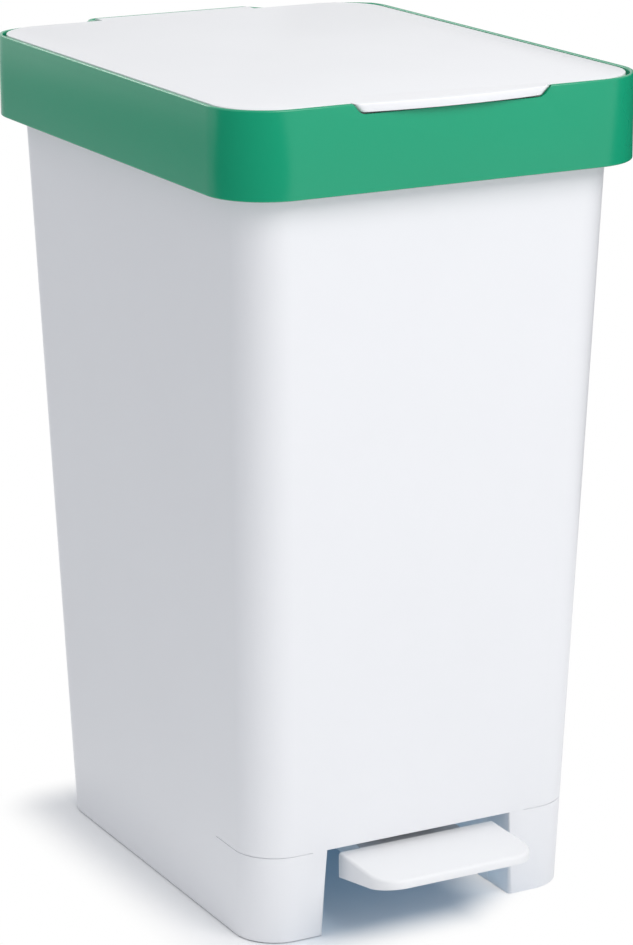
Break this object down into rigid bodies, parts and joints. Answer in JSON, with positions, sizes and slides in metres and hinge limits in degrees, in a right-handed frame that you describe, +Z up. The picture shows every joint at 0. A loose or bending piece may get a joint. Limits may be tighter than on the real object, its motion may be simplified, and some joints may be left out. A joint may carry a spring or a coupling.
{
  "type": "pedal bin",
  "caption": "Tall tapered pedal bin with a coloured bag ring and a hinged lid, opened by a foot pedal through a lever and a lift rod up the back.",
  "frame": {"origin": "bottom centre of the whole bin's box, on the floor", "axes": "+X to the right as seen from the front, -Y to the front (pedal side), +Z up"},
  "size_m": [0.252, 0.356, 0.47],
  "materials": {
    "tub_polypropylene": "satin moulded polypropylene, cool off-white",
    "lid_polypropylene": "satin moulded polypropylene, cool off-white",
    "tread_polypropylene": "satin moulded polypropylene, cool off-white",
    "ring_polypropylene": "satin moulded polypropylene, recycling green",
    "acetal": "smooth natural acetal",
    "soft_rubber": "matt rubber",
    "buffer_elastomer": "translucent grey elastomer",
    "zinc_plated_steel": "zinc plated pressed steel",
    "bright_steel": "bright drawn steel",
    "screw_steel": "zinc plated steel"
  },
  "bodies": {
    "base": {"tub": "tub_polypropylene", "foot_pad_front_left": "soft_rubber", "foot_pad_front_right": "soft_rubber", "foot_pad_rear_left": "soft_rubber", "foot_pad_rear_right": "soft_rubber", "saddle_cap_left": "tub_polypropylene", "saddle_cap_right": "tub_polypropylene", "saddle_screws": "screw_steel", "pedal_stop_pad": "soft_rubber", "rod_guide_lower": "acetal", "rod_guide_upper": "acetal", "rod_cover": "tub_polypropylene", "cover_screws": "screw_steel"},
    "ring": {"bag_ring": "ring_polypropylene", "lid_hinge_pin_left": "bright_steel", "lid_hinge_pin_right": "bright_steel", "lid_buffers": "buffer_elastomer"},
    "lid": {"lid_panel": "lid_polypropylene"},
    "pedal": {"pedal_tread": "tread_polypropylene", "pedal_lever": "zinc_plated_steel", "tread_screws": "screw_steel", "pivot_pin": "bright_steel", "pin_clips": "bright_steel"},
    "rod": {"push_rod": "bright_steel", "rod_head": "acetal", "rod_shoe": "acetal"}
  },
  "joints": [
    {"name": "ring_lift", "type": "slide", "parent": "base", "child": "ring", "axis": [0, 0, 1], "range_m": [0, 0.08]},
    {"name": "lid_hinge", "type": "hinge", "parent": "ring", "child": "lid", "pos_m": [0, 0.17, 0.4648], "axis": [-1, 0, 0], "range_deg": [0, 70]},
    {"name": "pedal_rock", "type": "hinge", "parent": "base", "child": "pedal", "pos_m": [0, 0.0215, 0.035], "axis": [1, 0, 0], "range_deg": [0, 7.14]},
    {"name": "rod_slide", "type": "slide", "parent": "base", "child": "rod", "axis": [0, 0.0528, 0.9986], "range_m": [0, 0.01436]}
  ],
  "couplings": [
    {"joint": "pedal_rock", "follows": "lid_hinge", "ratio": 0.10199},
    {"joint": "rod_slide", "follows": "lid_hinge", "m_per_rad": 0.011753}
  ]
}
